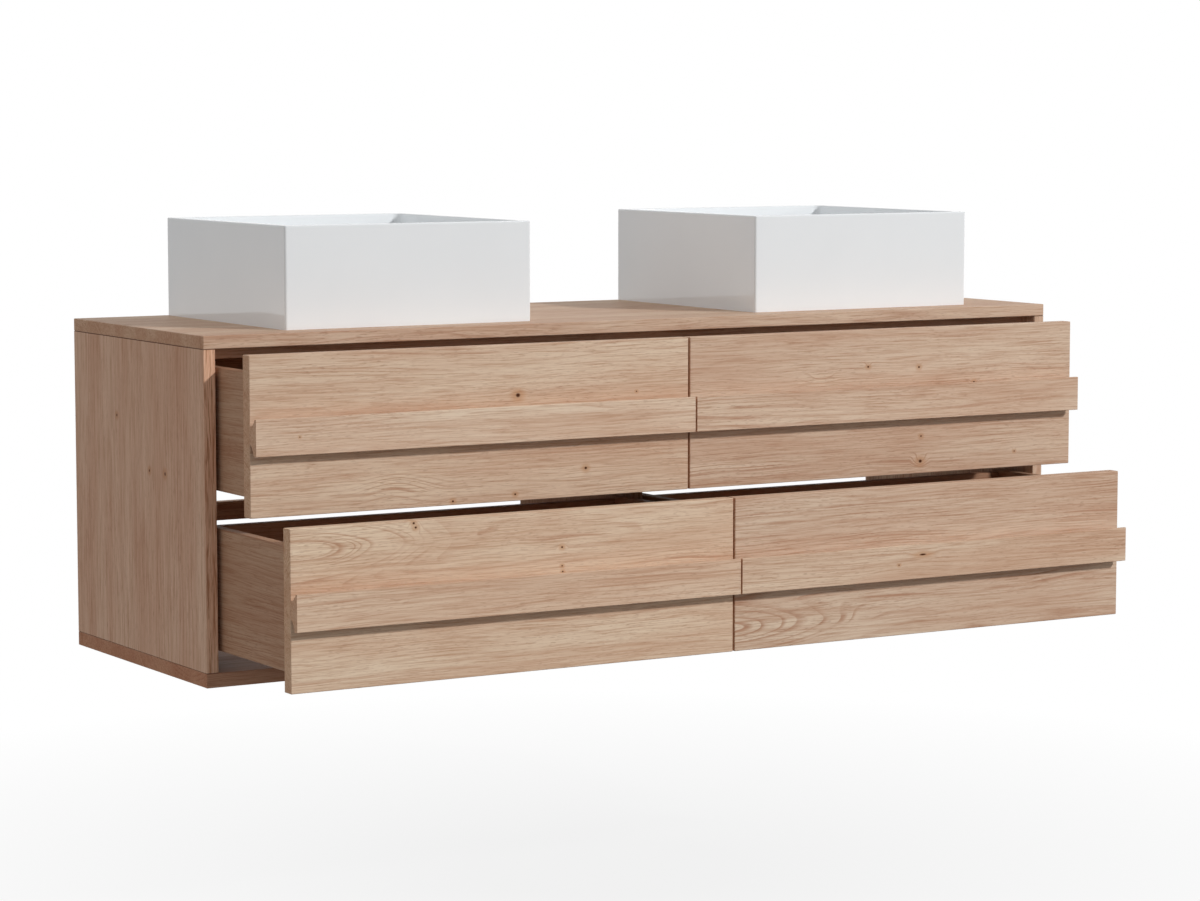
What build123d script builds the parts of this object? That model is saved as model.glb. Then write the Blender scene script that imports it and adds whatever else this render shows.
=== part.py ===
from build123d import *
import os

# Wall-hung oak washstand: two square ceramic vessel basins on a cabinet with four drawers.
# Millimetres, +X to the right, +Y towards the wall, +Z up. The origin is on the wall plane, at the
# middle of the upper back rail's back face. The drawers stand part open, as they do on show.

# Cabinet boards
WIDTH = 1450.0
DEPTH = 454.0
HEIGHT = 486.0
TOP_T = 18.0
SIDE_T = 18.0
BOTTOM_T = 20.0
PARTITION_T = 18.0
PIPE_SPACE = 72.0  # open depth between the partition and the wall
ARRIS = 0.8  # bevel planed on the edges of the boards

# Rails
UPPER_RAIL_H = 80.0
MID_RAIL_H = 28.0
MID_RAIL_DROP = 240.0  # from the upper rail's centre line to the mid rail's
BACK_RAIL_T = 18.0
FRONT_RAIL_H = 16.0
FRONT_RAIL_D = 60.0
FRONT_RAIL_SETBACK = 30.0
WALL_HOLE_D = 9.0
WALL_HOLE_SPACING = 1200.0

# Dowels that join boards and rails
DOWEL_D = 8.0
DOWEL_L = 30.0
DOWEL_SEAT = 10.0  # depth of the blind hole in a panel's face
DOWEL_INSET = 60.0  # from a panel's front or back edge to its outer dowels
PANEL_DOWELS = 3
DOWEL_CLEARANCE = 0.1

# Drawer fronts
FRONT_T = 20.0
FRONT_GAP = 1.5  # between and under the fronts
FRONT_TOP_GAP = 3.5
FRONT_SIDE_GAP = 5.0
FRONT_CENTRE_GAP = 3.0
FRONT_STOP_GAP = 26.0  # between a closed front and the partition
UPPER_OPEN = 96.0
LOWER_OPEN = 216.0

# Handle strips along the fronts
STRIP_H = 51.0
STRIP_D = 20.0
TOP_LIP = 4.0
TOP_GROOVE = 12.0
FINGER_LIP = 8.0
FINGER_GROOVE = 17.0
GROOVE_HOLLOW = 2.5  # how far each groove's round back bows into the strip
STRIP_ROUND = 1.0

# Drawer boxes
BOX_GAP = 6.0  # between a box and the wall of its bay
BOX_LENGTH = 272.0
BOX_SIDE_T = 15.0
BOX_SIDE_H = 170.0
BOX_LIFT = 28.0  # from a front's lower edge to the lower edge of its box
BACK_DROP = 3.6  # from the sides' upper edge to the back's
BASE_T = 8.0
BASE_LIFT = 26.0  # from the sides' lower edge to the base, room for the runner
BASE_GROOVE = 6.0
BASE_CLEARANCE = 0.2
CUTOUT_W = 200.0
CUTOUT_FRONT = 70.0  # from the waste's axis to the cut-out's cross wall, drawer closed

# Telescopic runners under the boxes
RUNNER_L = 240.0
RUNNER_START = 28.0  # from a closed front's back to the runner
RUNNER_INSET = 18.5  # from a box side's inner face to the runner's middle
RUNNER_DROP = 2.5  # clear space under a box side
SHEET = 1.5
FLANGE_H = 24.0
MEMBER_W = 24.0
LIP_W = 6.0
MIDDLE_FLANGE = 4.2
MIDDLE_WEB = 3.0
RUNNER_PLAY = 0.4

# Basins
BASIN_W = 396.0
BASIN_D = 400.0
BASIN_H = 146.0
LEFT_BASIN_INSET = 348.5  # from the top's left end to the left basin's middle
RIGHT_BASIN_INSET = 313.5
BASIN_BACK_GAP = 1.0
BASIN_CORNER = 3.0
BASIN_RIM = 12.0
RIM_ROUND = 2.5
BOWL_DEPTH = 110.0
BOWL_DRAFT = 4.0
BOWL_CORNER = 18.0
BOWL_ROUND = 16.0
FLOOR_FALL = 6.0
FALL_R = 125.0
BASE_WALL = 14.0
BASE_HOLLOW = 16.0
HOLLOW_CORNER = 10.0
SEAT_R = 36.0
SEAT_DEPTH = 2.0
BASIN_HOLE_R = 23.0
TOP_HOLE_R = 25.0

# Push-button wastes, clamped through basin and top
WASTE_R = 20.95
WASTE_WALL = 2.6
WASTE_FLANGE_R = 33.0
WASTE_FLANGE_T = 3.5
FLANGE_EDGE = 1.2
FLANGE_BEVEL = 5.0
GASKET_T = 1.5
GASKET_PLAY = 0.3
WASHER_T = 3.0
WASHER_R = 32.0
NUT_T = 10.0
NUT_FLATS = 54.0
NUT_PLAY = 0.15
TAIL_L = 35.0  # from the locknut to the end, for the trap
RELIEF_W = 3.0  # groove where the locknut's thread ends
RELIEF_DEPTH = 0.8
HUB_R = 7.5
HUB_H = 9.0
HUB_DROP = 20.0  # from the flange's top to the hub's
SPOKES = 3
SPOKE_T = 4.0
STEM_R = 4.0
STEM_PLAY = 0.1
CLIP_R = 6.0
CLIP_T = 2.0
CLIP_GAP = 0.4
PLUG_R = 31.0
PLUG_EDGE = 2.5
PLUG_CROWN = 3.0
PLUG_TRAVEL = 8.0
PLUG_SEAL_T = 2.0
PLUG_SEAL_W = 5.0
PLUG_SEAT_GAP = 0.4

# Levels and faces that the pieces share
TOP_UNDER = UPPER_RAIL_H / 2
TOP_Z = TOP_UNDER + TOP_T
FOOT_Z = TOP_Z - HEIGHT
FLOOR_Z = FOOT_Z + BOTTOM_T
FACE_Y = -DEPTH
BAY_OUT = WIDTH / 2 - SIDE_T
BAY_IN = PARTITION_T / 2
FRONT_H = (TOP_UNDER - FRONT_TOP_GAP - FLOOR_Z - 2 * FRONT_GAP) / 2
LOWER_Z = FLOOR_Z + FRONT_GAP
UPPER_Z = LOWER_Z + FRONT_H + FRONT_GAP
BASIN_LEFT_X = LEFT_BASIN_INSET - WIDTH / 2
BASIN_RIGHT_X = WIDTH / 2 - RIGHT_BASIN_INSET
WASTE_Y = -BASIN_BACK_GAP - BASIN_D / 2

nodes = {}


def block(x, y, z):
    """Rectangular solid between two values on each axis."""
    size = [max(pair) - min(pair) for pair in (x, y, z)]
    middle = [sum(pair) / 2 for pair in (x, y, z)]
    return Pos(*middle) * Box(*size)


def board(x, y, z, along=None):
    """Board with planed edges, all of them or those along one axis."""
    blank = block(x, y, z)
    edges = blank.edges().filter_by(along) if along else blank.edges()
    return chamfer(edges, ARRIS)


def spread(first, last, count):
    """Evenly spaced values from first to last."""
    return [first + (last - first) * index / (count - 1) for index in range(count)]


# Cabinet: the top and the bottom run over the ends of the side panels
across = (-WIDTH / 2, WIDTH / 2)
deep = (FACE_Y, 0)
upright = (FLOOR_Z, TOP_UNDER)
between = (-BAY_OUT, BAY_OUT)
partition_y = (FACE_Y + FRONT_T + FRONT_STOP_GAP, -PIPE_SPACE)
front_rail_y = (FACE_Y + FRONT_RAIL_SETBACK, FACE_Y + FRONT_RAIL_SETBACK + FRONT_RAIL_D)
front_rail_z = (TOP_UNDER - FRONT_RAIL_H, TOP_UNDER)
upper_rail_z = (TOP_UNDER - UPPER_RAIL_H, TOP_UNDER)
mid_rail_z = (-MID_RAIL_DROP - MID_RAIL_H / 2, -MID_RAIL_DROP + MID_RAIL_H / 2)

nodes["top_panel"] = board(across, deep, (TOP_UNDER, TOP_Z))
nodes["bottom_panel"] = board(across, deep, (FOOT_Z, FLOOR_Z))
nodes["left_side_panel"] = board((-WIDTH / 2, -BAY_OUT), deep, upright)
nodes["right_side_panel"] = board((BAY_OUT, WIDTH / 2), deep, upright)
nodes["centre_partition"] = board((-BAY_IN, BAY_IN), partition_y, upright)
nodes["centre_partition"] -= block((-PARTITION_T, PARTITION_T), (FACE_Y, front_rail_y[1]), front_rail_z)
nodes["front_top_rail"] = board(between, front_rail_y, front_rail_z, Axis.X)
nodes["upper_back_rail"] = board(between, (-BACK_RAIL_T, 0), upper_rail_z, Axis.X)
nodes["mid_back_rail"] = board(between, (-BACK_RAIL_T, 0), mid_rail_z, Axis.X)

# Holes for the wall screws, two in each back rail
for rail, height in (("upper_back_rail", 0), ("mid_back_rail", -MID_RAIL_DROP)):
    for x in (-WALL_HOLE_SPACING / 2, WALL_HOLE_SPACING / 2):
        drill = Cylinder(WALL_HOLE_D / 2, 2 * BACK_RAIL_T, rotation=(90, 0, 0))
        nodes[rail] -= Pos(x, -BACK_RAIL_T / 2, height) * drill


def dowel_spots():
    """Middle of each dowel, the way it points, and the two boards that it joins."""
    spots = []
    reach = DOWEL_L / 2 - DOWEL_SEAT
    side_x = WIDTH / 2 - SIDE_T / 2
    side_y = spread(FACE_Y + DOWEL_INSET, -DOWEL_INSET, PANEL_DOWELS)
    inner_y = (front_rail_y[1] + DOWEL_INSET, partition_y[1] - DOWEL_INSET)
    uprights = [("left_side_panel", -side_x, side_y), ("right_side_panel", side_x, side_y)]
    uprights.append(("centre_partition", 0, inner_y))
    for name, x, places in uprights:
        for y in places:
            spots.append(((x, y, TOP_UNDER - reach), (0, 0, 0), "top_panel", name))
            spots.append(((x, y, FLOOR_Z + reach), (0, 0, 0), "bottom_panel", name))
    rail_y = -BACK_RAIL_T / 2
    front_y = sum(front_rail_y) / 2
    rails = [("upper_back_rail", (rail_y, rail_y), (-UPPER_RAIL_H / 4, UPPER_RAIL_H / 4))]
    rails.append(("mid_back_rail", (rail_y,), (-MID_RAIL_DROP,)))
    rails.append(("front_top_rail", (front_y - FRONT_RAIL_D / 4, front_y + FRONT_RAIL_D / 4),
                  (TOP_UNDER - FRONT_RAIL_H / 2,) * 2))
    for name, places, heights in rails:
        for y, z in zip(places, heights):
            spots.append(((-BAY_OUT + reach, y, z), (0, 90, 0), "left_side_panel", name))
            spots.append(((BAY_OUT - reach, y, z), (0, 90, 0), "right_side_panel", name))
    return spots


nodes["joint_dowels"] = Part()
for centre, turn, panel, partner in dowel_spots():
    place = Pos(*centre)
    nodes["joint_dowels"] += place * Cylinder(DOWEL_D / 2, DOWEL_L, rotation=turn)
    hole = Cylinder(DOWEL_D / 2 + DOWEL_CLEARANCE, DOWEL_L + 2 * DOWEL_CLEARANCE, rotation=turn)
    nodes[panel] -= place * hole
    nodes[partner] -= place * hole


def bowed(start, end, depth):
    """Arc from start to end whose middle stands off to the right of the way from start to end."""
    middle = (Vector(*start) + Vector(*end)) / 2
    way = (Vector(*end) - Vector(*start)).normalized()
    return ThreePointArc(start, middle + Vector(way.Y, -way.X) * depth, end)


def handle_strip(x, face_y, middle_z):
    """Strip of the full width of a front, hollowed above and below its glued middle."""
    glue_low = (0, FINGER_GROOVE)
    glue_high = (0, STRIP_H - TOP_GROOVE)
    lip_high = (STRIP_D - TOP_LIP, STRIP_H)
    lip_low = (STRIP_D - FINGER_LIP, 0)
    outline = Polyline(lip_high, (STRIP_D, STRIP_H), (STRIP_D, 0), lip_low)
    outline += bowed(lip_low, glue_low, GROOVE_HOLLOW)
    outline += Line(glue_low, glue_high)
    outline += bowed(glue_high, lip_high, GROOVE_HOLLOW)
    profile = make_face(outline)
    profile = fillet(profile.vertices().group_by(Axis.X)[-1], STRIP_ROUND)
    end = Plane((max(x), face_y, middle_z - STRIP_H / 2), x_dir=(0, -1, 0), z_dir=(-1, 0, 0))
    return extrude(end * profile, amount=max(x) - min(x))


def runner_profiles():
    """Sections of the cabinet, middle and drawer member, from the bay's wall and the box's lower edge."""
    axis = BOX_GAP + BOX_SIDE_T + RUNNER_INSET
    half = MEMBER_W / 2
    flange_half = half - SHEET - RUNNER_PLAY
    web_top = -RUNNER_DROP
    low = (web_top + RUNNER_PLAY, web_top + RUNNER_PLAY + MIDDLE_FLANGE)
    high = (BASE_LIFT - SHEET - RUNNER_PLAY - MIDDLE_FLANGE, BASE_LIFT - SHEET - RUNNER_PLAY)
    wall = axis + half - SHEET / 2
    web = web_top - SHEET / 2
    hook = low[1] + RUNNER_PLAY + SHEET / 2
    cabinet = trace(Polyline((SHEET / 2, FLANGE_H), (SHEET / 2, web), (wall, web), (wall, hook),
                             (wall - LIP_W, hook)), SHEET)
    middle = Pos(axis, sum(low) / 2) * Rectangle(2 * flange_half, MIDDLE_FLANGE)
    middle += Pos(axis, sum(high) / 2) * Rectangle(2 * flange_half, MIDDLE_FLANGE)
    middle += Pos(axis, (low[1] + high[0]) / 2) * Rectangle(MIDDLE_WEB, high[0] - low[1] + SHEET)
    edge = half - SHEET / 2
    crown = BASE_LIFT - SHEET / 2
    curl = high[0] - RUNNER_PLAY - SHEET / 2
    carrier = trace(Polyline((axis - edge + LIP_W, curl), (axis - edge, curl), (axis - edge, crown),
                             (axis + edge, crown), (axis + edge, curl), (axis + edge - LIP_W, curl)), SHEET)
    return cabinet, middle, carrier


nodes["runner_cabinet_members"] = Part()


def add_runners(name, bay, box_z, opened):
    """Left and right runner of one drawer, each member where it is when the drawer is opened."""
    closed_front = FACE_Y + FRONT_T + RUNNER_START
    mirror_plane = Plane.YZ.offset(sum(bay) / 2)
    cabinet, middle, carrier = runner_profiles()
    members = ((cabinet, 0), (middle, opened / 2), (carrier, opened))
    pairs = []
    for profile, moved in members:
        rear = Plane((min(bay), closed_front + RUNNER_L - moved, box_z), x_dir=(1, 0, 0), z_dir=(0, -1, 0))
        left = extrude(rear * profile, amount=RUNNER_L)
        pairs.append(Part() + [left, mirror(left, about=mirror_plane)])
    nodes["runner_cabinet_members"] += pairs[0]
    nodes[name + "_runner_middles"] = pairs[1]
    nodes[name + "_runner_carriers"] = pairs[2]


def add_drawer(name, bay_side, low_z, opened, waste_x=None):
    """One drawer: front, handle strip, box and runners, with a pipe cut-out where a waste comes down."""
    bay = sorted((bay_side * BAY_IN, bay_side * BAY_OUT))
    front_x = sorted((bay_side * FRONT_CENTRE_GAP / 2, bay_side * (BAY_OUT - FRONT_SIDE_GAP)))
    front_y = (FACE_Y - opened, FACE_Y - opened + FRONT_T)
    nodes[name + "_front"] = board(front_x, front_y, (low_z, low_z + FRONT_H))
    nodes[name + "_handle_strip"] = handle_strip(front_x, front_y[0], low_z + FRONT_H / 2)

    box_x = (bay[0] + BOX_GAP, bay[1] - BOX_GAP)
    inner_x = (box_x[0] + BOX_SIDE_T, box_x[1] - BOX_SIDE_T)
    box_y = (front_y[1], front_y[1] + BOX_LENGTH)
    box_z = low_z + BOX_LIFT
    base_z = (box_z + BASE_LIFT, box_z + BASE_LIFT + BASE_T)
    base_x = (inner_x[0] - BASE_GROOVE, inner_x[1] + BASE_GROOVE)
    groove_x = (base_x[0] - BASE_CLEARANCE, base_x[1] + BASE_CLEARANCE)
    groove_z = (base_z[0] - BASE_CLEARANCE, base_z[1] + BASE_CLEARANCE)
    groove = block(groove_x, box_y, groove_z)
    side_z = (box_z, box_z + BOX_SIDE_H)
    nodes[name + "_left_side"] = board((box_x[0], inner_x[0]), box_y, side_z, Axis.Y) - groove
    nodes[name + "_right_side"] = board((inner_x[1], box_x[1]), box_y, side_z, Axis.Y) - groove

    base = block(base_x, box_y, base_z)
    wall_z = (base_z[1], side_z[1] - BACK_DROP)
    back_y = (box_y[1] - BOX_SIDE_T, box_y[1])
    if waste_x is None:
        nodes[name + "_base"] = base
        nodes[name + "_back"] = board(inner_x, back_y, wall_z, Axis.X)
    else:
        cut_x = (waste_x - CUTOUT_W / 2, waste_x + CUTOUT_W / 2)
        cut_y = WASTE_Y - CUTOUT_FRONT - opened
        wall_y = (cut_y - BOX_SIDE_T, box_y[1])
        nodes[name + "_base"] = base - block(cut_x, (cut_y, box_y[1]), base_z)
        left_wall = board((cut_x[0] - BOX_SIDE_T, cut_x[0]), wall_y, wall_z, Axis.Y)
        right_wall = board((cut_x[1], cut_x[1] + BOX_SIDE_T), wall_y, wall_z, Axis.Y)
        nodes[name + "_cutout_side_walls"] = Part() + [left_wall, right_wall]
        nodes[name + "_cutout_cross_wall"] = board(cut_x, (wall_y[0], cut_y), wall_z, Axis.X)
        nodes[name + "_left_back"] = board((inner_x[0], cut_x[0] - BOX_SIDE_T), back_y, wall_z, Axis.X)
        nodes[name + "_right_back"] = board((cut_x[1] + BOX_SIDE_T, inner_x[1]), back_y, wall_z, Axis.X)
    add_runners(name, bay, box_z, opened)


add_drawer("upper_left_drawer", -1, UPPER_Z, UPPER_OPEN, BASIN_LEFT_X)
add_drawer("upper_right_drawer", 1, UPPER_Z, UPPER_OPEN, BASIN_RIGHT_X)
add_drawer("lower_left_drawer", -1, LOWER_Z, LOWER_OPEN)
add_drawer("lower_right_drawer", 1, LOWER_Z, LOWER_OPEN)


def ring(inner, outer, low, high):
    """Round washer about the Z axis."""
    disc = Cylinder(outer, high - low) - Cylinder(inner, high - low)
    return Pos(0, 0, (low + high) / 2) * disc


def basin():
    """Square bowl in a straight box, hollow under its floor, standing on Z = 0."""
    floor_z = BASIN_H - BOWL_DEPTH
    body = block((-BASIN_W / 2, BASIN_W / 2), (-BASIN_D / 2, BASIN_D / 2), (0, BASIN_H))
    body = fillet(body.edges().filter_by(Axis.Z), BASIN_CORNER)
    mouth = RectangleRounded(BASIN_W - 2 * BASIN_RIM, BASIN_D - 2 * BASIN_RIM, BOWL_CORNER)
    downwards = Plane((0, 0, BASIN_H), z_dir=(0, 0, -1))
    bowl = extrude(downwards * mouth, amount=BOWL_DEPTH, taper=BOWL_DRAFT)
    bowl = fillet(bowl.faces().sort_by(Axis.Z)[0].edges(), BOWL_ROUND)
    body -= bowl
    body = fillet(body.faces().sort_by(Axis.Z)[-1].edges(), RIM_ROUND)
    body -= Pos(0, 0, floor_z - FLOOR_FALL / 2) * Cone(SEAT_R, FALL_R, FLOOR_FALL)
    seat_z = floor_z - FLOOR_FALL - SEAT_DEPTH
    body -= Pos(0, 0, seat_z + SEAT_DEPTH / 2) * Cylinder(SEAT_R, SEAT_DEPTH)
    body -= Cylinder(BASIN_HOLE_R, 2 * BASIN_H)
    hollow = RectangleRounded(BASIN_W - 2 * BASE_WALL, BASIN_D - 2 * BASE_WALL, HOLLOW_CORNER)
    return body - extrude(hollow, amount=BASE_HOLLOW)


# Levels of the waste's stack of pieces, from the upper face of the top panel
SEAT_Z = BASIN_H - BOWL_DEPTH - FLOOR_FALL - SEAT_DEPTH
FLANGE_Z = SEAT_Z + GASKET_T
RIM_Z = FLANGE_Z + WASTE_FLANGE_T
WASHER_Z = -TOP_T - WASHER_T
NUT_Z = WASHER_Z - NUT_T
TAIL_Z = NUT_Z - TAIL_L
HUB_Z = RIM_Z - HUB_DROP - HUB_H
PLUG_Z = RIM_Z + PLUG_SEAT_GAP + PLUG_TRAVEL + PLUG_SEAL_T


def waste_body():
    """Flanged tube with a spoked hub that guides the plug's stem."""
    bore = WASTE_R - WASTE_WALL
    relief = WASTE_R - RELIEF_DEPTH
    outline = Polyline((bore, TAIL_Z), (WASTE_R, TAIL_Z), (WASTE_R, NUT_Z - RELIEF_W),
                       (relief, NUT_Z - RELIEF_W), (relief, NUT_Z), (WASTE_R, NUT_Z), (WASTE_R, FLANGE_Z),
                       (WASTE_FLANGE_R, FLANGE_Z), (WASTE_FLANGE_R, FLANGE_Z + FLANGE_EDGE),
                       (WASTE_FLANGE_R - FLANGE_BEVEL, RIM_Z), (bore, RIM_Z), close=True)
    body = revolve(make_face(Plane.XZ * outline), axis=Axis.Z)
    spoke = block((STEM_R, bore + WASTE_WALL / 2), (-SPOKE_T / 2, SPOKE_T / 2), (HUB_Z, HUB_Z + HUB_H))
    for index in range(SPOKES):
        body += Rot(0, 0, 360 * index / SPOKES) * spoke
    body += ring(STEM_R, HUB_R, HUB_Z, HUB_Z + HUB_H)
    return body - Pos(0, 0, HUB_Z) * Cylinder(STEM_R + STEM_PLAY, 3 * HUB_H)


def waste_plug():
    """Domed cap on a stem with a stop clip under the hub, in its raised place."""
    clip_z = HUB_Z - CLIP_GAP - CLIP_T
    rim = (PLUG_R, PLUG_Z + PLUG_EDGE)
    crown = (0, PLUG_Z + PLUG_EDGE + PLUG_CROWN)
    outline = Polyline(crown, (0, clip_z), (CLIP_R, clip_z), (CLIP_R, clip_z + CLIP_T),
                       (STEM_R, clip_z + CLIP_T), (STEM_R, PLUG_Z), (PLUG_R - PLUG_EDGE / 2, PLUG_Z), rim)
    outline += TangentArc(crown, rim, tangent=(1, 0))
    return revolve(make_face(Plane.XZ * outline), axis=Axis.Z)


nodes["waste_gaskets"] = Part()
nodes["waste_locknuts"] = Part()
for side, x in (("left", BASIN_LEFT_X), ("right", BASIN_RIGHT_X)):
    spot = Pos(x, WASTE_Y, TOP_Z)
    nodes["top_panel"] -= spot * Cylinder(TOP_HOLE_R, 4 * TOP_T)
    nodes[side + "_basin"] = spot * basin()
    nodes[side + "_waste_body"] = spot * waste_body()
    nodes[side + "_waste_plug"] = spot * waste_plug()
    seal_r = PLUG_R - PLUG_EDGE
    nodes[side + "_plug_seal"] = spot * ring(seal_r - PLUG_SEAL_W, seal_r, PLUG_Z - PLUG_SEAL_T, PLUG_Z)
    gasket = ring(WASTE_R + GASKET_PLAY, WASTE_FLANGE_R, SEAT_Z, FLANGE_Z)
    washer = ring(WASTE_R + GASKET_PLAY, WASHER_R, WASHER_Z, -TOP_T)
    nodes["waste_gaskets"] += spot * gasket
    nodes["waste_gaskets"] += spot * washer
    nut = extrude(RegularPolygon(NUT_FLATS / 2, 6, major_radius=False), amount=NUT_T)
    nut -= Cylinder(WASTE_R + NUT_PLAY, 4 * NUT_T)
    nodes["waste_locknuts"] += spot * Pos(0, 0, NUT_Z) * nut

os.makedirs("parts", exist_ok=True)
for name, shape in nodes.items():
    export_step(shape, f"parts/{name}.step")
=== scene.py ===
import math

import bmesh
import bpy
from mathutils import Matrix, Vector


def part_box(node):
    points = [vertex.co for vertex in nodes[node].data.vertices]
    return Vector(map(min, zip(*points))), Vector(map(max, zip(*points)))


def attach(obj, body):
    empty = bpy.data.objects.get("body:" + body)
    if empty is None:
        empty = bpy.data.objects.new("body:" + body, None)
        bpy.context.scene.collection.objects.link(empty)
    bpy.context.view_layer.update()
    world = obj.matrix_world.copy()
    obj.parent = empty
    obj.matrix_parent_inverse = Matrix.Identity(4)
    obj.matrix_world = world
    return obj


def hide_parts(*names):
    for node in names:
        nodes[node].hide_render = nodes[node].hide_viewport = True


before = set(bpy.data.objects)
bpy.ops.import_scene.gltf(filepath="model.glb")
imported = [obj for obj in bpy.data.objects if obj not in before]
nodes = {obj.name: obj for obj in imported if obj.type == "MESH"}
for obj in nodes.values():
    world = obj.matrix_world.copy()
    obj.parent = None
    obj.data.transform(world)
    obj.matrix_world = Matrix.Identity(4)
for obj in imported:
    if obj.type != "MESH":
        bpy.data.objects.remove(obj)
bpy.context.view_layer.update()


# Cabinet boards: top, bottom, two sides and the partition between the drawer bays.
# Solid oak, planed and oiled, the grain running along the top and bottom and up the sides.
# The top and bottom lie over the ends of the sides and are dowelled to them.

def linear(code):
    """Linear RGBA of an sRGB hex colour."""
    channels = [int(code[place:place + 2], 16) / 255 for place in (1, 3, 5)]
    return [c / 12.92 if c <= 0.04045 else ((c + 0.055) / 1.055) ** 2.4 for c in channels] + [1]


def add(tree, kind, inputs=None, output=0, **settings):
    """Adds a node, sets it, gives its sockets values or links, and returns one of its outputs."""
    made = tree.nodes.new("ShaderNode" + kind)
    for name, value in settings.items():
        setattr(made, name, value)
    for socket, value in (inputs or {}).items():
        if isinstance(value, bpy.types.NodeSocket):
            tree.links.new(value, made.inputs[socket])
        else:
            made.inputs[socket].default_value = value
    return made.outputs[output]


SMOOTH = {"interpolation_type": "SMOOTHSTEP"}
COLOUR = {"data_type": "RGBA", "output": 2}


def bare_material(name):
    """New material; returns it with its node tree and its surface shader."""
    material = bpy.data.materials.new(name)
    material.use_nodes = True
    return material, material.node_tree, material.node_tree.nodes["Principled BSDF"]


def dress(names, material):
    """Gives CAD nodes a material in place of the plain one that they came with."""
    for name in names:
        nodes[name].data.materials.clear()
        nodes[name].data.materials.append(material)


def per_metre(*sizes_mm):
    """How often patterns of these sizes repeat in a metre."""
    return [1000 / size for size in sizes_mm]


def middle_of(node):
    """Centre of a CAD node's box."""
    low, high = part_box(node)
    return [(a + b) / 2 for a, b in zip(low, high)]


# Sizes of the figure along, across and through the grain, in millimetres. Rings, fibres and pores are
# drawn about twice as coarse as they are, so that they show.
SWAY, FIGURE, TONE = (480, 120, 120), (230, 52, 52), (420, 48, 48)
WHOLE, DRIFT, EDGE_RINGS = (170, 15, 15), (190, 34, 34), (60, 3.2, 2.4)
FIBRE, WISP, STREAK, PORE = (78, 1.7, 1.7), (150, 3.6, 3.6), (340, 9, 9), (13, 1.3, 1.3)
RING_WIDTH = 4.8
PALE_WOOD, WARM_WOOD, SWIRL_WOOD = "#E2C9B1", "#D5B49B", "#E9D3BA"
RING_TONE, EDGE_RING_TONE, STREAK_TONE = "#B28064", "#8E5C3E", "#BC8E72"
WISP_TONE, PALE_WISP, FIBRE_TONE, PORE_TONE = "#B58463", "#EAD3BC", "#B4876A", "#96684C"
HALO_TONE, KNOT_TONE, JOINT_TONE = "#BC8252", "#4E2C1A", "#4A3020"
END_GRAIN = (0.88, 0.76, 0.68)


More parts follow.
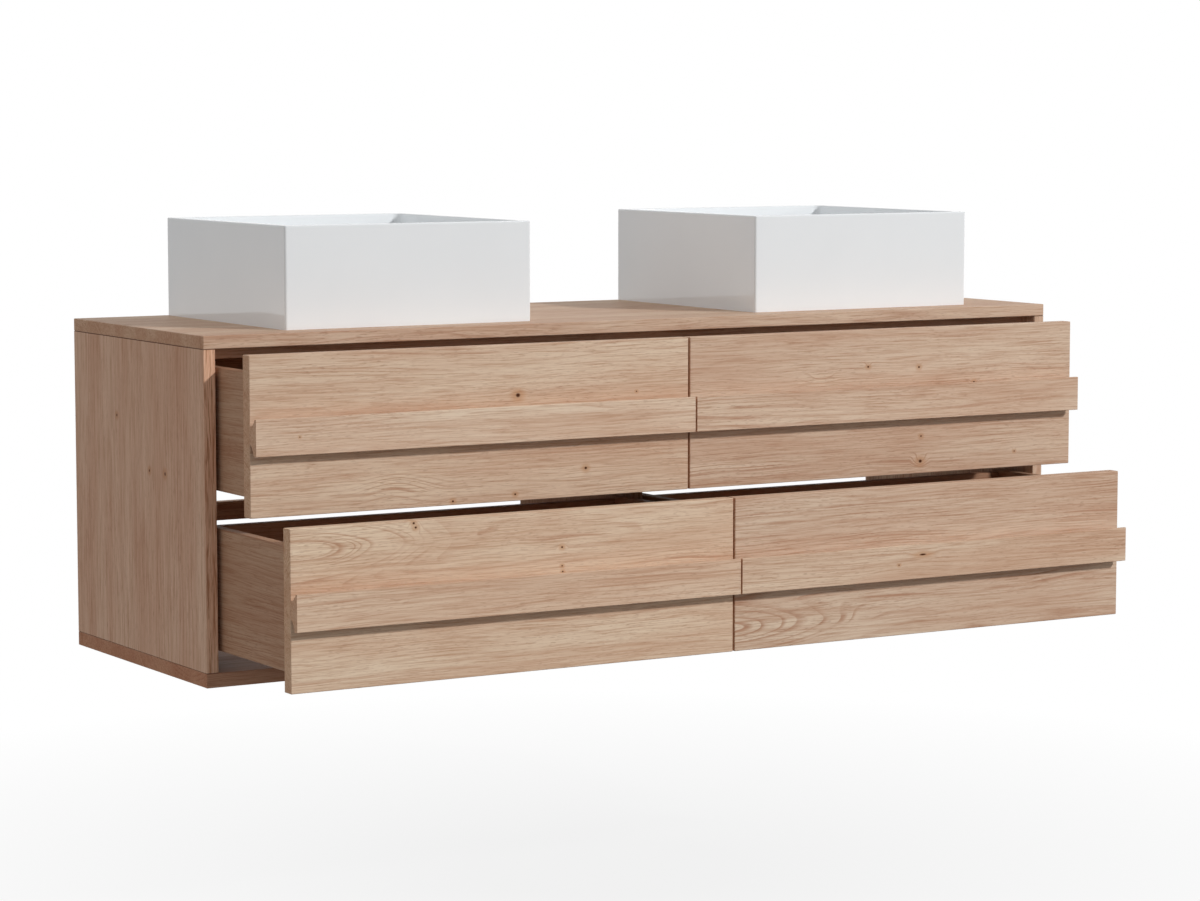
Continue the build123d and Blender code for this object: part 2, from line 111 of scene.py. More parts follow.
def oak(names, title, axes, heart, seed, knots=(), swirls=(), bold=1.0, shade=(1, 1, 1), edges=None,
        seam=None):
    """Oiled oak for like boards: growth rings that the faces cut, fibres, pores, swirls and pin knots.

    axes names the boards' directions along, across and through the grain, and heart is where the tree's
    centre lies across and through them, from the middle of the first. A knot is its place along and
    across, its radius and how many times longer it is; a swirl is its place, its half length and half
    width, and how far it lifts the rings. All are in millimetres. bold strengthens the rings and streaks,
    shade tints the board: its tone, and on boards that stand in shade a painted shade, darker and redder.
    edges tints its long narrow sides and gives them bolder rings; on the left side it paints the front edge
    lighter, as lit, than the painted shade of the faces. seam is how far from the middle its butted ends
    darken.
    """
    material, tree, shader = bare_material("oiled oak, " + title)
    place = add(tree, "TexCoord", output="Object")
    place = add(tree, "VectorMath", {0: place, 1: middle_of(names[0])}, operation="SUBTRACT")
    split = add(tree, "SeparateXYZ", {0: place}).node.outputs
    board = add(tree, "CombineXYZ", {index: split[axis] for index, axis in enumerate(axes)})

    def figured(sizes, shift, detail, roughness=0.5):
        """Cloudy pattern of these sizes on the board."""
        spot = add(tree, "VectorMath", {0: board, 1: per_metre(*sizes), 2: [seed + shift] * 3},
                   operation="MULTIPLY_ADD")
        return add(tree, "TexNoise", {"Vector": spot, "Scale": 1, "Detail": detail,
                                      "Roughness": roughness}).node.outputs

    def away_from(along, across, half_length, half_width):
        """Distance from a spot on the board, in the spot's own half sizes."""
        spot = add(tree, "VectorMath", {0: board, 1: (along / 1000, across / 1000, 0)},
                   operation="SUBTRACT")
        spot = add(tree, "VectorMath", {0: spot, 1: per_metre(half_length, half_width, 1e9)},
                   operation="MULTIPLY")
        return add(tree, "VectorMath", {0: spot}, output="Value", operation="LENGTH")

    # The rings' distance from the tree's heart, which wanders as the trunk did
    sway = add(tree, "VectorMath", {0: figured(SWAY, 3, 3)["Color"], 1: (0.5, 0.5, 0.5)},
               operation="SUBTRACT")
    sway = add(tree, "VectorMath", {0: sway, 1: (0, 0.022, 0.030)}, operation="MULTIPLY")
    trunk = add(tree, "VectorMath", {0: board, 1: (0, 1, 1), 2: sway}, operation="MULTIPLY_ADD")
    trunk = add(tree, "VectorMath", {0: trunk, 1: (0, heart[0] / 1000, heart[1] / 1000)},
                operation="SUBTRACT")
    radius = add(tree, "VectorMath", {0: trunk}, output="Value", operation="LENGTH")
    figure = figured(FIGURE, 67, 2)[0]
    swirl = 0.0
    for along, across, half_length, half_width, lift in swirls:
        away = away_from(along, across, half_length, half_width)
        hill = add(tree, "MapRange", {0: away, 1: 0.0, 2: 1.6, 3: 1.0, 4: 0.0}, **SMOOTH)
        radius = add(tree, "Math", {0: hill, 1: lift / 1000, 2: radius}, operation="MULTIPLY_ADD")
        figure = add(tree, "Math", {0: hill, 1: 0.22, 2: figure}, operation="MULTIPLY_ADD")
        swirl = add(tree, "Math", {0: swirl, 1: hill}, operation="MAXIMUM")

    # Pin knots: dark cores in a tan halo, with the rings pushed aside around them
    core = halo = 0.0
    for along, across, size, longer in knots:
        away = away_from(along, across, size * longer, size)
        push = add(tree, "MapRange", {0: away, 1: 0.4, 2: 6.0, 3: 1.0, 4: 0.0}, **SMOOTH)
        radius = add(tree, "Math", {0: push, 1: size * 0.0025, 2: radius}, operation="MULTIPLY_ADD")
        dark = add(tree, "MapRange", {0: away, 1: 0.45, 2: 1.15, 3: 1.0, 4: 0.0}, **SMOOTH)
        core = add(tree, "Math", {0: core, 1: dark}, operation="MAXIMUM")
        tan = add(tree, "MapRange", {0: away, 1: 1.0, 2: 4.4, 3: 0.9, 4: 0.0}, **SMOOTH)
        halo = add(tree, "Math", {0: halo, 1: tan}, operation="MAXIMUM")

    # Each ring darkens slowly and ends sharply; rings vary in width, and fade here and there
    uneven = add(tree, "Math", {0: radius, 1: 90, 2: seed}, operation="MULTIPLY_ADD")
    uneven = add(tree, "TexNoise", {"W": uneven, "Scale": 1, "Detail": 2}, noise_dimensions="1D")
    ring = add(tree, "Math", {0: uneven, 1: 0.014, 2: radius}, operation="MULTIPLY_ADD")
    ring = add(tree, "Math", {0: ring, 1: RING_WIDTH / 1000}, operation="DIVIDE")
    ring = add(tree, "Math", {0: ring}, operation="FRACT")
    start = add(tree, "MapRange", {0: ring, 1: 0.50, 2: 0.92}, **SMOOTH)
    end = add(tree, "MapRange", {0: ring, 1: 0.92, 2: 1.0, 3: 1.0, 4: 0.0}, **SMOOTH)
    ring = add(tree, "Math", {0: start, 1: end}, operation="MULTIPLY")
    whole = add(tree, "MapRange", {0: figured(WHOLE, 43, 2)[0], 1: 0.36, 2: 0.56}, **SMOOTH)
    if swirls:
        whole = add(tree, "Math", {0: whole, 1: swirl}, operation="MAXIMUM")
    ring = add(tree, "Math", {0: ring, 1: whole}, operation="MULTIPLY")

    # Fibres, wisps, streaks and pores undulate along the board
    drift = add(tree, "VectorMath", {0: figured(DRIFT, 73, 2)["Color"], 1: (0.5, 0.5, 0.5)},
                operation="SUBTRACT")
    board = add(tree, "VectorMath", {0: drift, 1: (0, 0.011, 0.011), 2: board}, operation="MULTIPLY_ADD")
    fibre = figured(FIBRE, 11, 2, 0.6)[0]
    wisp = figured(WISP, 29, 3, 0.6)[0]
    streak = figured(STREAK, 23, 3, 0.6)[0]
    pore = add(tree, "MapRange", {0: figured(PORE, 37, 1)[0], 1: 0.57, 2: 0.70}, **SMOOTH)

    facing = add(tree, "NewGeometry", output="Normal")
    facing = add(tree, "VectorMath", {0: facing}, operation="ABSOLUTE")
    facing = add(tree, "SeparateXYZ", {0: facing}).node.outputs
    on_end = add(tree, "MapRange", {0: facing[axes[0]], 1: 0.5, 2: 0.9}, **SMOOTH)
    on_edge = add(tree, "MapRange", {0: facing[axes[1]], 1: 0.5, 2: 0.9}, **SMOOTH)

    share = add(tree, "MapRange", {0: figured(TONE, 51, 2)[0], 1: 0.30, 2: 0.70}, **SMOOTH)
    colour = add(tree, "Mix", {0: share, 6: linear(PALE_WOOD), 7: linear(WARM_WOOD)}, **COLOUR)
    vein = add(tree, "MapRange", {0: figure, 1: 0.34, 2: 0.66, 3: 0.12 * bold, 4: 0.60 * bold}, **SMOOTH)
    if swirls:
        share = add(tree, "Math", {0: swirl, 1: 0.55}, operation="MULTIPLY")
        colour = add(tree, "Mix", {0: share, 6: colour, 7: linear(SWIRL_WOOD)}, **COLOUR)
        share = add(tree, "Math", {0: swirl, 1: 0.85}, operation="MULTIPLY")
        vein = add(tree, "Math", {0: vein, 1: share}, operation="MAXIMUM")
    vein = add(tree, "Math", {0: ring, 1: vein}, operation="MULTIPLY")
    colour = add(tree, "Mix", {0: vein, 6: colour, 7: linear(RING_TONE)}, **COLOUR)
    if edges:
        share = add(tree, "MapRange", {0: figured(EDGE_RINGS, 83, 3, 0.6)[0], 1: 0.46, 2: 0.62, 4: 0.75},
                    **SMOOTH)
        share = add(tree, "Math", {0: share, 1: on_edge}, operation="MULTIPLY")
        colour = add(tree, "Mix", {0: share, 6: colour, 7: linear(EDGE_RING_TONE)}, **COLOUR)
    for pattern, low, high, strength, tone in ((streak, 0.50, 0.70, 0.28 * bold, STREAK_TONE),
                                               (wisp, 0.50, 0.68, 0.20 * bold, WISP_TONE),
                                               (wisp, 0.50, 0.34, 0.24, PALE_WISP),
                                               (fibre, 0.46, 0.70, 0.54, FIBRE_TONE)):
        share = add(tree, "MapRange", {0: pattern, 1: low, 2: high, 4: strength}, **SMOOTH)
        colour = add(tree, "Mix", {0: share, 6: colour, 7: linear(tone)}, **COLOUR)
    share = add(tree, "MapRange", {0: figure, 1: 0.30, 2: 0.65, 3: 0.12, 4: 0.34}, **SMOOTH)
    share = add(tree, "Math", {0: pore, 1: share}, operation="MULTIPLY")
    colour = add(tree, "Mix", {0: share, 6: colour, 7: linear(PORE_TONE)}, **COLOUR)
    if knots:
        share = add(tree, "Math", {0: halo, 1: 0.52}, operation="MULTIPLY")
        colour = add(tree, "Mix", {0: share, 6: colour, 7: linear(HALO_TONE)}, **COLOUR)
        colour = add(tree, "Mix", {0: core, 6: colour, 7: linear(KNOT_TONE)}, **COLOUR)

    # The tint: the board's tone, painted shade on boards that stand in shade, and the edges' own tint;
    # end grain soaks up more oil, and a butted end shows a dark joint
    tint = [*shade, 1]
    if edges:
        tint = add(tree, "Mix", {0: on_edge, 6: tint, 7: [*edges, 1]}, **COLOUR)
    soaked = [grain * part for grain, part in zip(END_GRAIN, shade)] + [1]
    tint = add(tree, "Mix", {0: on_end, 6: tint, 7: soaked}, **COLOUR)
    if seam:
        distance = add(tree, "Math", {0: split[axes[0]]}, operation="ABSOLUTE")
        share = add(tree, "MapRange", {0: distance, 1: (seam - 1.4) / 1000, 2: (seam - 0.6) / 1000, 4: 0.75},
                    **SMOOTH)
        tint = add(tree, "Mix", {0: share, 6: tint, 7: linear(JOINT_TONE)}, **COLOUR)
    colour = add(tree, "Mix", {0: 1.0, 6: colour, 7: tint}, blend_type="MULTIPLY", **COLOUR)

    # An oiled, planed face: a soft sheen, a little rougher and lower where the pores are open
    height = add(tree, "Math", {0: pore, 1: -0.8}, operation="MULTIPLY")
    height = add(tree, "Math", {0: fibre, 1: -0.6, 2: height}, operation="MULTIPLY_ADD")
    bump = add(tree, "Bump", {"Height": height, "Strength": 0.20, "Distance": 0.0004})
    rough = add(tree, "MapRange", {0: fibre, 1: 0.3, 2: 0.7, 3: 0.50, 4: 0.64}, **SMOOTH)
    tree.links.new(colour, shader.inputs["Base Color"])
    tree.links.new(rough, shader.inputs["Roughness"])
    tree.links.new(bump, shader.inputs["Normal"])
    shader.inputs["IOR"].default_value = 1.45
    shader.inputs["Specular IOR Level"].default_value = 0.08
    dress(names, material)


side_low, side_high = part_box("left_side_panel")
SIDE_SEAM = (side_high[2] - side_low[2]) / 2 * 1000
SIDE_KNOTS = [(111, 72, 2.0, 1.2), (41, -41, 2.0, 1.2), (41, -95, 2.6, 1.2)]
oak(["top_panel"], "top board", "XYZ", (260, -160), 4.0, shade=(0.97, 0.96, 0.96))
# The bottom board gets a darker, redder painted shade, as it lies in the drawers' shadow
oak(["bottom_panel"], "bottom board", "XYZ", (-160, 140), 9.0, shade=(0.80, 0.63, 0.56))
# The left side's faces get a darker, redder painted shade, as the side away from the lamp, and its front
# edge is painted lighter, as where the lamp lights it
oak(["left_side_panel"], "left side", "ZYX", (-300, -110), 14.0, SIDE_KNOTS, shade=(1, 0.89, 0.85),
    edges=(1.26, 1.14, 1.08), seam=SIDE_SEAM)
oak(["right_side_panel"], "right side", "ZYX", (280, 120), 19.0, seam=SIDE_SEAM)
# The partition gets a dark painted shade, as it stands in the shade inside the carcass
oak(["centre_partition"], "partition", "ZYX", (-240, 160), 24.0, shade=(0.62, 0.50, 0.44))


# Rails: one under the top behind the fronts, and two across the back that take the wall screws.
# Planed oak strips, the grain along them, dowelled between the side panels.

# RAIL_SHADE is painted shade: the rails lie in the shade under the top and at the back
RAIL_SHADE = (0.86, 0.76, 0.72)
for turn, rail in enumerate(("front_top_rail", "upper_back_rail", "mid_back_rail")):
    oak([rail], rail.replace("_", " "), "XZY", (90, 120), 31.0 + 5 * turn, shade=RAIL_SHADE)


# Dowels: short turned beech pins, left plain, with the small dark flecks of that wood.
# They are glued into blind holes where boards and rails meet.

FLECK = 1.8
material, tree, shader = bare_material("turned beech")
place = add(tree, "TexCoord", output="Object")
fleck = add(tree, "TexNoise", {"Vector": place, "Scale": per_metre(FLECK)[0], "Detail": 2})
fleck = add(tree, "MapRange", {0: fleck, 1: 0.4, 2: 0.65})
colour = add(tree, "Mix", {0: fleck, 6: linear("#D9B48C"), 7: linear("#B98A62")}, **COLOUR)
tree.links.new(colour, shader.inputs["Base Color"])
shader.inputs["Roughness"].default_value = 0.6
dress(["joint_dowels"], material)


# Drawer fronts: four oak boards that lie in front of the boxes, the grain along them.
# Flat sawn, so the rings make arches on them, with pin knots where small twigs grew.
# Each is given by its tree's heart, its own grain, how bold that is, its knots, its swirl and its tint.

fronts = {
    "upper_left_drawer": (
        (210, -150), 44.0, 1.0,
        [(66, 39, 3.4, 1.2), (177, -70, 2.2, 1.2), (-39, -105, 1.7, 1.2), (61, -101, 1.6, 1.2),
         (262, 36, 1.1, 1.2)],
        [(-130, -72, 62, 24, 13)], (1.03, 1.04, 1.03)),
    "upper_right_drawer": (
        (-190, -140), 61.0, 1.2,
        [(-34, 55, 1.7, 1.2), (60, 51, 1.8, 1.2), (164, 24, 1.8, 1.2), (-47, 18, 1.5, 1.2),
         (65, -54, 1.6, 1.2), (64, -92, 3.0, 1.2), (243, -86, 1.2, 1.2)],
        [(-121, 38, 40, 12, 9)], (0.98, 0.98, 0.98)),
    "lower_left_drawer": (
        (90, -120), 78.0, 1.15,
        [(-165, 107, 1.8, 1.2), (-162, 101, 1.8, 1.2), (67, 59, 1.6, 1.2), (67, 33, 1.2, 1.2),
         (68, 25, 1.3, 1.2)],
        [(-335, 82, 175, 36, 42)], (1.09, 1.11, 1.09)),
    "lower_right_drawer": (
        (-110, -120), 95.0, 1.4, [], [(-350, -80, 190, 34, 34)], (0.98, 0.98, 0.98)),
}


def title_of(drawer):
    """A drawer's place in words."""
    return drawer.replace("_drawer", "").replace("_", " ")


for drawer, (heart, seed, bold, knots, swirls, tint) in fronts.items():
    oak([drawer + "_front"], title_of(drawer) + " front", "XZY", heart, seed, knots, swirls, bold, tint)


# Handle strips: one along each front, grooved above and below for the fingertips and glued on.
# Moulded from oak of the same kind, so the grain runs on from the front.

strips = {
    "upper_left_drawer": ((170, -160), 112.0, [(-285, -1, 0.9, 1.2)], (1.10, 1.15, 1.17)),
    "upper_right_drawer": ((-150, -170), 118.0, [], (1.01, 1.01, 1.01)),
    "lower_left_drawer": ((160, -170), 124.0, [], (1.06, 1.05, 1.03)),
    "lower_right_drawer": ((-140, -160), 130.0, [(-33, 10, 1.7, 4.0), (-76, -3, 1.1, 1.2)],
                           (1.01, 1.0, 0.98)),
}
for drawer, (heart, seed, knots, tint) in strips.items():
    oak([drawer + "_handle_strip"], title_of(drawer) + " strip", "XZY", heart, seed, knots, shade=tint)


# Drawer boxes: sides, backs and, in the upper drawers, walls round the pipe cut-out.
# Oak boards butted and glued, with a thin base that slides into grooves in the sides.

# BOX_SHADE darkens the boxes: partly a darker oak, partly painted shade where the carcass shades them
BOX_SHADE = (0.68, 0.56, 0.49)
for turn, drawer in enumerate(fronts):
    box = title_of(drawer) + " box, "
    pieces = [name for name in nodes if name.startswith(drawer)]
    for side in ("left", "right"):
        oak([f"{drawer}_{side}_side"], f"{box}{side} side", "YZX", (120, -140),
            140.0 + 7 * turn + len(side), shade=BOX_SHADE)
    cross_boards = [name for name in pieces if name.endswith(("_back", "cross_wall"))]
    oak(cross_boards, box + "cross boards", "XZY", (150, -160), 180.0 + 7 * turn, shade=BOX_SHADE)
    walls = [name for name in pieces if name.endswith("cutout_side_walls")]
    if walls:
        oak(walls, box + "cut-out walls", "YZX", (150, -160), 220.0 + 7 * turn, shade=BOX_SHADE)
    oak([drawer + "_base"], box + "base", "XYZ", (180, -160), 260.0 + 7 * turn, shade=BOX_SHADE)


# Runners: a fixed, a middle and a moving member under each side of each drawer box.
# Rolled from zinc-plated steel sheet, which has a fine cloudy sheen along the rolling direction.

ROLLING, CLOUD = (1.2, 60, 1.2), 18
material, tree, shader = bare_material("zinc-plated rolled steel")
place = add(tree, "TexCoord", output="Object")
rolled = add(tree, "VectorMath", {0: place, 1: per_metre(*ROLLING)}, operation="MULTIPLY")
lines = add(tree, "TexNoise", {"Vector": rolled, "Scale": 1, "Detail": 3})
cloud = add(tree, "TexNoise", {"Vector": place, "Scale": per_metre(CLOUD)[0], "Detail": 2})
colour = add(tree, "Mix", {0: cloud, 6: linear("#B4B8BD"), 7: linear("#CDD0D3")}, **COLOUR)
rough = add(tree, "MapRange", {0: lines, 1: 0.3, 2: 0.7, 3: 0.28, 4: 0.44})
tree.links.new(colour, shader.inputs["Base Color"])
tree.links.new(rough, shader.inputs["Roughness"])
shader.inputs["Metallic"].default_value = 1.0
dress([name for name in nodes if "runner" in name], material)


# Basins: two square vessels of vitreous china, cast in one piece, glazed and fired.
# The bowl's steep walls turn into a floor that falls to the waste; the underside is hollow, and the
# foot stands on the top board.

BASIN_W, BASIN_D, BASIN_H = (high - low for low, high in zip(*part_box("left_basin")))
RIM, BOWL_DEPTH, DRAFT = 0.012, 0.110, math.radians(4)
FLOOR_FALL, FALL_R = 0.006, 0.125
SEAT_R, SEAT_DEPTH, HOLE_R = 0.036, 0.002, 0.023
FOOT_WALL, HOLLOW = 0.014, 0.016
BOWL_CORNER, FLOOR_ROUND, OUTER_CORNER, RIM_ROUND, HOLLOW_CORNER = 0.011, 0.009, 0.0035, 0.002, 0.010
HOLE_STEP = 0.003
TOP_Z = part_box("top_panel")[1][2]


def select(obj, kind, test):
    """Selects the faces or edges of the mesh being edited that pass a test."""
    bpy.ops.mesh.select_mode(type=kind)
    bpy.ops.mesh.select_all(action="DESELECT")
    mesh = bmesh.from_edit_mesh(obj.data)
    for item in (mesh.faces if kind == "FACE" else mesh.edges):
        if test(item):
            item.select_set(True)
    bmesh.update_edit_mesh(obj.data)


def near(value, target):
    """True within a tenth of a millimetre."""
    return abs(value - target) < 1e-4


def push(distance, widen_x=1.0, widen_y=1.0):
    """Extrudes the selected face upwards or downwards and resizes its far end."""
    bpy.ops.mesh.extrude_region_move(TRANSFORM_OT_translate={"value": (0, 0, distance)})
    bpy.ops.transform.resize(value=(widen_x, widen_y, 1))


bpy.ops.object.select_all(action="DESELECT")
bpy.ops.mesh.primitive_cube_add(size=1, location=(0, 0, BASIN_H / 2), scale=(BASIN_W, BASIN_D, BASIN_H))
basin = bpy.context.object
bpy.ops.object.transform_apply(location=True, rotation=True, scale=True)
bpy.ops.object.mode_set(mode="EDIT")
select(basin, "FACE", lambda face: face.normal.z > 0.9)
bpy.ops.mesh.inset(thickness=RIM)
narrow = BOWL_DEPTH * math.tan(DRAFT)
push(-BOWL_DEPTH, 1 - narrow / (BASIN_W / 2 - RIM), 1 - narrow / (BASIN_D / 2 - RIM))
select(basin, "FACE", lambda face: face.normal.z < -0.9)
bpy.ops.mesh.inset(thickness=FOOT_WALL)
push(HOLLOW)


def upright(edge, inside):
    """True for the four upright edges of the bowl or of the outer walls."""
    low, high = sorted(corner.co.z for corner in edge.verts)
    reach = max(abs(corner.co.x) for corner in edge.verts)
    return high - low > BASIN_H / 2 and (reach < BASIN_W / 2 - RIM / 2) == inside


def on_level(edge, level):
    """True for the edges at a level where a flat meets a wall."""
    return all(near(corner.co.z, level) for corner in edge.verts) and edge.calc_face_angle(0) > 0.8


floor_z = BASIN_H - BOWL_DEPTH
select(basin, "EDGE", lambda edge: upright(edge, True))
bpy.ops.mesh.bevel(offset=BOWL_CORNER, segments=6)
select(basin, "EDGE", lambda edge: on_level(edge, floor_z))
bpy.ops.mesh.bevel(offset=FLOOR_ROUND, segments=6)
select(basin, "EDGE", lambda edge: upright(edge, False))
bpy.ops.mesh.bevel(offset=OUTER_CORNER, segments=5)
select(basin, "EDGE", lambda edge: on_level(edge, BASIN_H))
bpy.ops.mesh.bevel(offset=RIM_ROUND, segments=4)


def round_off(obj, level, cuts, radius):
    """Draws a circle in the middle flat at a level: its long edges are split, and a copy is rounded."""
    margin, long_edge = 0.001, 0.1

    def middle_face(face):
        centre = face.calc_center_median()
        return near(centre.z, level) and centre.xy.length < 1e-4

    select(obj, "FACE", middle_face)
    bpy.ops.mesh.inset(thickness=margin)
    mesh = bmesh.from_edit_mesh(obj.data)
    outline = {edge for face in mesh.faces if face.select for edge in face.edges}
    bpy.ops.mesh.select_mode(type="EDGE")
    bpy.ops.mesh.select_all(action="DESELECT")
    for edge in outline:
        edge.select_set(edge.calc_length() > long_edge)
    bmesh.update_edit_mesh(obj.data)
    bpy.ops.mesh.subdivide(number_cuts=cuts)
    select(obj, "FACE", middle_face)
    push(0)
    bpy.ops.transform.tosphere(value=1.0)
    mesh = bmesh.from_edit_mesh(obj.data)
    corner = next(face for face in mesh.faces if face.select).verts[0].co
    reached = math.hypot(corner.x, corner.y)
    bpy.ops.transform.resize(value=(radius / reached, radius / reached, 1))


# The floor falls to the waste's seat, and the hole goes on down to the hollow under the floor
seat_z = floor_z - FLOOR_FALL - SEAT_DEPTH
round_off(basin, floor_z, 15, FALL_R)
push(-FLOOR_FALL, SEAT_R / FALL_R, SEAT_R / FALL_R)
push(-SEAT_DEPTH)
push(0, HOLE_R / SEAT_R, HOLE_R / SEAT_R)
push(HOLLOW + HOLE_STEP - seat_z)
bpy.ops.mesh.delete(type="FACE")


def hollow_upright(edge):
    """True for the four upright edges of the hollow."""
    first, second = (corner.co for corner in edge.verts)
    return (near(edge.calc_length(), HOLLOW) and near(first.x, second.x)
            and near(max(first.z, second.z), HOLLOW))


select(basin, "EDGE", hollow_upright)
bpy.ops.mesh.bevel(offset=HOLLOW_CORNER, segments=4)
round_off(basin, HOLLOW, 17, HOLE_R)
bpy.ops.mesh.delete(type="FACE")
select(basin, "EDGE", lambda edge: edge.is_boundary)
bpy.ops.mesh.bridge_edge_loops()
bpy.ops.mesh.select_all(action="SELECT")
bpy.ops.mesh.normals_make_consistent(inside=False)
bpy.ops.object.mode_set(mode="OBJECT")
bpy.ops.object.shade_smooth_by_angle(angle=math.radians(40))
bpy.ops.object.modifier_add(type="WEIGHTED_NORMAL")
basin.modifiers[-1].keep_sharp = True
bpy.ops.object.modifier_apply(modifier=basin.modifiers[-1].name)

# Glazed vitreous china: a bright, slightly wavy glaze over a warm white body
DRIFT_SIZE, RIPPLE_SIZE = 90, 24
material, tree, shader = bare_material("white glaze on vitreous china")
place = add(tree, "TexCoord", output="Object")
drift = add(tree, "TexNoise", {"Vector": place, "Scale": per_metre(DRIFT_SIZE)[0], "Detail": 2})
colour = add(tree, "Mix", {0: drift, 6: linear("#F1F4F6"), 7: linear("#F5F8FA")}, **COLOUR)
ripple = add(tree, "TexNoise", {"Vector": place, "Scale": per_metre(RIPPLE_SIZE)[0], "Detail": 1})
bump = add(tree, "Bump", {"Height": ripple, "Strength": 0.06, "Distance": 0.0008})
rough = add(tree, "MapRange", {0: drift, 1: 0.3, 2: 0.7, 3: 0.03, 4: 0.06})
tree.links.new(colour, shader.inputs["Base Color"])
tree.links.new(rough, shader.inputs["Roughness"])
tree.links.new(bump, shader.inputs["Normal"])
shader.inputs["IOR"].default_value = 1.52
basin.data.materials.clear()
basin.data.materials.append(material)

for side in ("left", "right"):
    along, out, _ = middle_of(side + "_waste_plug")
    copy = bpy.data.objects.new(side + "_vessel", basin.data.copy())
    copy.data.transform(Matrix.Translation((along, out, TOP_Z)))
    bpy.context.collection.objects.link(copy)
    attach(copy, "root")
    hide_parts(side + "_basin")
bpy.data.objects.remove(basin)


# Wastes: a flanged tube clamped through each basin and the top by a locknut, and a push-button plug.
# Turned brass, chrome plated where it shows in the bowl; polished, so it mirrors with a trace of mist.

def misted(names, title, size, detail, first, second, smooth, matt, metal):
    """A finish for small parts whose tone and gloss vary in spots of a size in millimetres."""
    material, tree, shader = bare_material(title)
    place = add(tree, "TexCoord", output="Object")
    mist = add(tree, "TexNoise", {"Vector": place, "Scale": per_metre(size)[0], "Detail": detail})
    colour = add(tree, "Mix", {0: mist, 6: linear(first), 7: linear(second)}, **COLOUR)
    rough = add(tree, "MapRange", {0: mist, 1: 0.3, 2: 0.7, 3: smooth, 4: matt})
    tree.links.new(colour, shader.inputs["Base Color"])
    tree.links.new(rough, shader.inputs["Roughness"])
    shader.inputs["Metallic"].default_value = metal
    dress(names, material)


misted(["left_waste_body", "right_waste_body", "left_waste_plug", "right_waste_plug"],
       "polished chrome plate", 6, 3, "#CDD1D4", "#D6D9DC", 0.08, 0.11, 1.0)


# Locknuts: hexagon nuts on the wastes' tails, which clamp basin, top and waste together.
# Turned from bare brass, dulled a little in spots.

misted(["waste_locknuts"], "turned brass", 4, 3, "#B8934E", "#D0AE68", 0.22, 0.36, 1.0)


# Gaskets, washers and plug seals: moulded rings that seal the wastes, pressed between the parts.
# Black rubber, matt, with a trace of moulding dust.

misted(["waste_gaskets", "left_plug_seal", "right_plug_seal"], "black rubber", 3, 4,
       "#161616", "#2A2928", 0.6, 0.8, 0.0)


# Studio: a pale floor well below the wall-hung cabinet, a soft lamp from the front right and above,
# and an even white surround, which is dimmer where the object takes its light from it.

FLOOR_Z, FLOOR_R, UNDER = TOP_Z - 0.85, 9, (0, -0.3)
bpy.ops.object.select_all(action="DESELECT")
bpy.ops.mesh.primitive_circle_add(vertices=64, radius=FLOOR_R, fill_type="NGON", location=(*UNDER, FLOOR_Z))
floor = bpy.context.object
floor.name = "studio_floor"
bpy.ops.object.transform_apply(location=True, rotation=True, scale=True)
material, tree, shader = bare_material("pale studio floor")
shader.inputs["Base Color"].default_value = linear("#8C8C8C")
shader.inputs["Roughness"].default_value = 0.9
shader.inputs["Specular IOR Level"].default_value = 0.0
place = add(tree, "TexCoord", output="Object")
distance = add(tree, "VectorMath", {0: place, 1: (*UNDER, FLOOR_Z)}, output="Value", operation="DISTANCE")
clear = add(tree, "MapRange", {0: distance, 1: 0.2, 2: 1.6, 3: 0.86, 4: 1.0})
ray = add(tree, "LightPath").node.outputs
seen = add(tree, "Math", {0: ray["Is Camera Ray"], 1: ray["Is Glossy Ray"]}, operation="MAXIMUM")
seen = add(tree, "Math", {0: seen, 1: ray["Is Transmission Ray"]}, operation="MAXIMUM")
share = add(tree, "Math", {0: seen, 1: clear}, operation="MULTIPLY")
white = add(tree, "Emission", {"Color": (1, 1, 1, 1), "Strength": 1.0})
surface = add(tree, "MixShader", {0: share, 1: shader.outputs[0], 2: white})
tree.links.new(surface, tree.nodes["Material Output"].inputs["Surface"])
floor.data.materials.append(material)

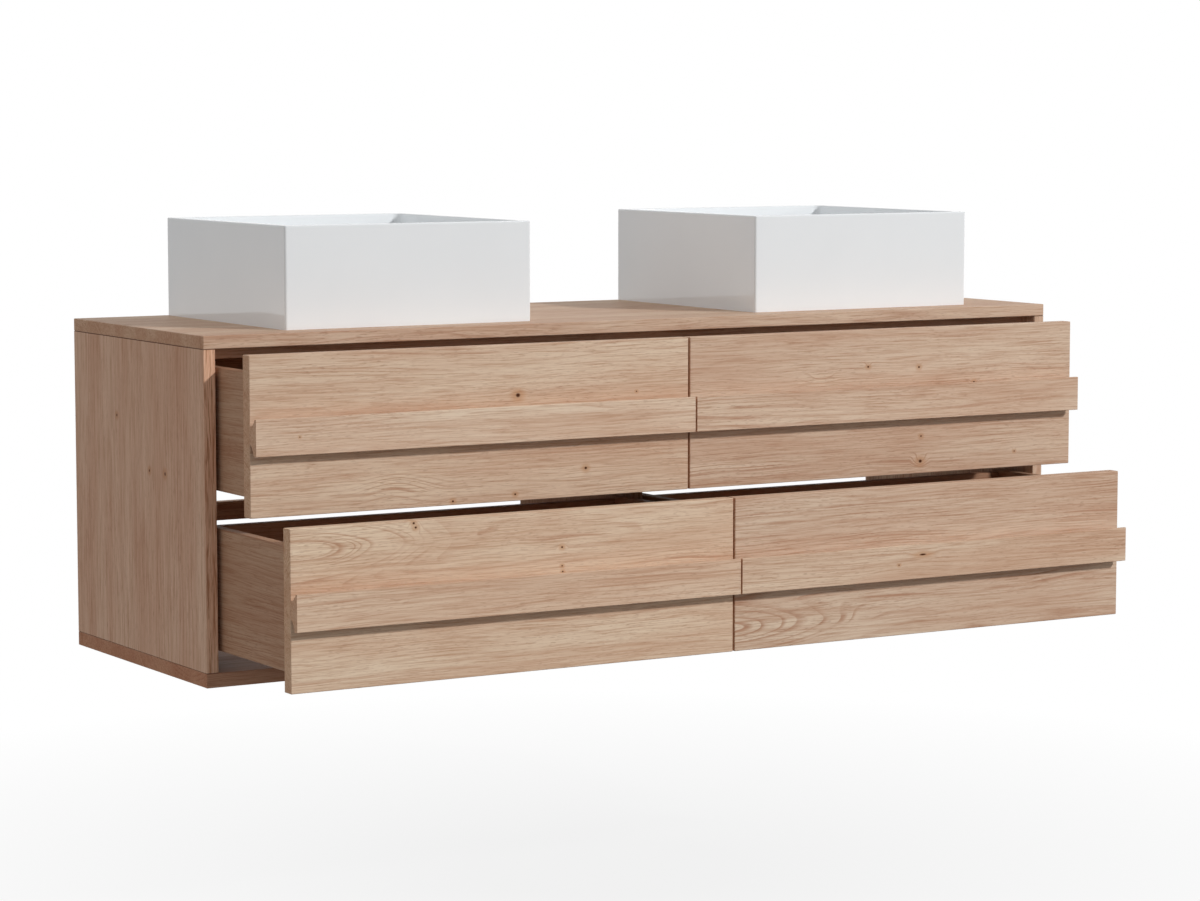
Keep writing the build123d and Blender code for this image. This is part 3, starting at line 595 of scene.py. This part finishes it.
# The surround is bright behind and dim in front, dim again low behind, a little brighter at the left, and
# dim overhead
world = bpy.data.worlds.new("white surround")
bpy.context.scene.world = world
world.use_nodes = True
tree = world.node_tree
tree.nodes.clear()
heading = add(tree, "SeparateXYZ", {0: add(tree, "TexCoord", output="Generated")}).node.outputs
ambient = add(tree, "MapRange", {0: heading["Y"], 1: -0.3, 2: 0.35, 3: 0.46, 4: 1.02}, **SMOOTH)
behind = add(tree, "MapRange", {0: heading["Y"], 1: 0.25, 2: 0.6, 3: 0.0, 4: -0.92}, **SMOOTH)
low = add(tree, "MapRange", {0: heading["Z"], 1: 0.15, 2: 0.55, 3: 1.0, 4: 0.0}, **SMOOTH)
dimmed = add(tree, "Math", {0: behind, 1: low, 2: 1.0}, operation="MULTIPLY_ADD")
left = add(tree, "MapRange", {0: heading["X"], 1: -0.9, 2: -0.2, 3: 1.14, 4: 1.0})
above = add(tree, "MapRange", {0: heading["Z"], 1: 0.35, 2: 0.95, 3: 1.0, 4: 0.35})
for part in (dimmed, left, above):
    ambient = add(tree, "Math", {0: ambient, 1: part}, operation="MULTIPLY")
ray = add(tree, "LightPath").node.outputs
seen = add(tree, "Math", {0: ray["Is Camera Ray"], 1: ray["Is Glossy Ray"]}, operation="MAXIMUM")
seen = add(tree, "Math", {0: seen, 1: ray["Is Transmission Ray"]}, operation="MAXIMUM")
strength = add(tree, "Mix", {0: seen, 2: ambient, 3: 1.0})
surround = add(tree, "Background", {"Color": (1, 1, 1, 1), "Strength": strength})
tree.links.new(surround, tree.nodes.new("ShaderNodeOutputWorld").inputs["Surface"])

KEY_TURN, KEY_RISE, KEY_AWAY = math.radians(35), math.radians(27), 14.0
toward = Vector((math.sin(KEY_TURN) * math.cos(KEY_RISE), -math.cos(KEY_TURN) * math.cos(KEY_RISE),
                 math.sin(KEY_RISE)))
lamp = bpy.data.lights.new("key", "AREA")
lamp.shape = "DISK"
lamp.size = 1.1
lamp.energy = 1160
key = bpy.data.objects.new("key", lamp)
key.location = toward * KEY_AWAY + Vector((*UNDER, -0.1))
key.rotation_euler = toward.to_track_quat("Z", "Y").to_euler()
bpy.context.collection.objects.link(key)


# Camera: at the left in front, a little above the top and looking slightly down.
# A long lens, so the cabinet's depth is drawn nearly parallel.

CAMERA_PLACE = (-2.69717, -4.76352, 0.37715)
LOOK_DOWN, TURNED = math.radians(5.768), math.radians(-31.144)
SENSOR, FOCAL_PIXELS, PHOTO_WIDTH = 36, 3462.11, 1200
camera = bpy.data.objects.new("camera", bpy.data.cameras.new("camera"))
camera.location = CAMERA_PLACE
camera.rotation_euler = (math.pi / 2 - LOOK_DOWN, 0, TURNED)
camera.data.sensor_width = SENSOR
camera.data.lens = FOCAL_PIXELS * SENSOR / PHOTO_WIDTH
bpy.context.collection.objects.link(camera)
bpy.context.scene.camera = camera
bpy.context.scene.view_settings.view_transform = "Standard"
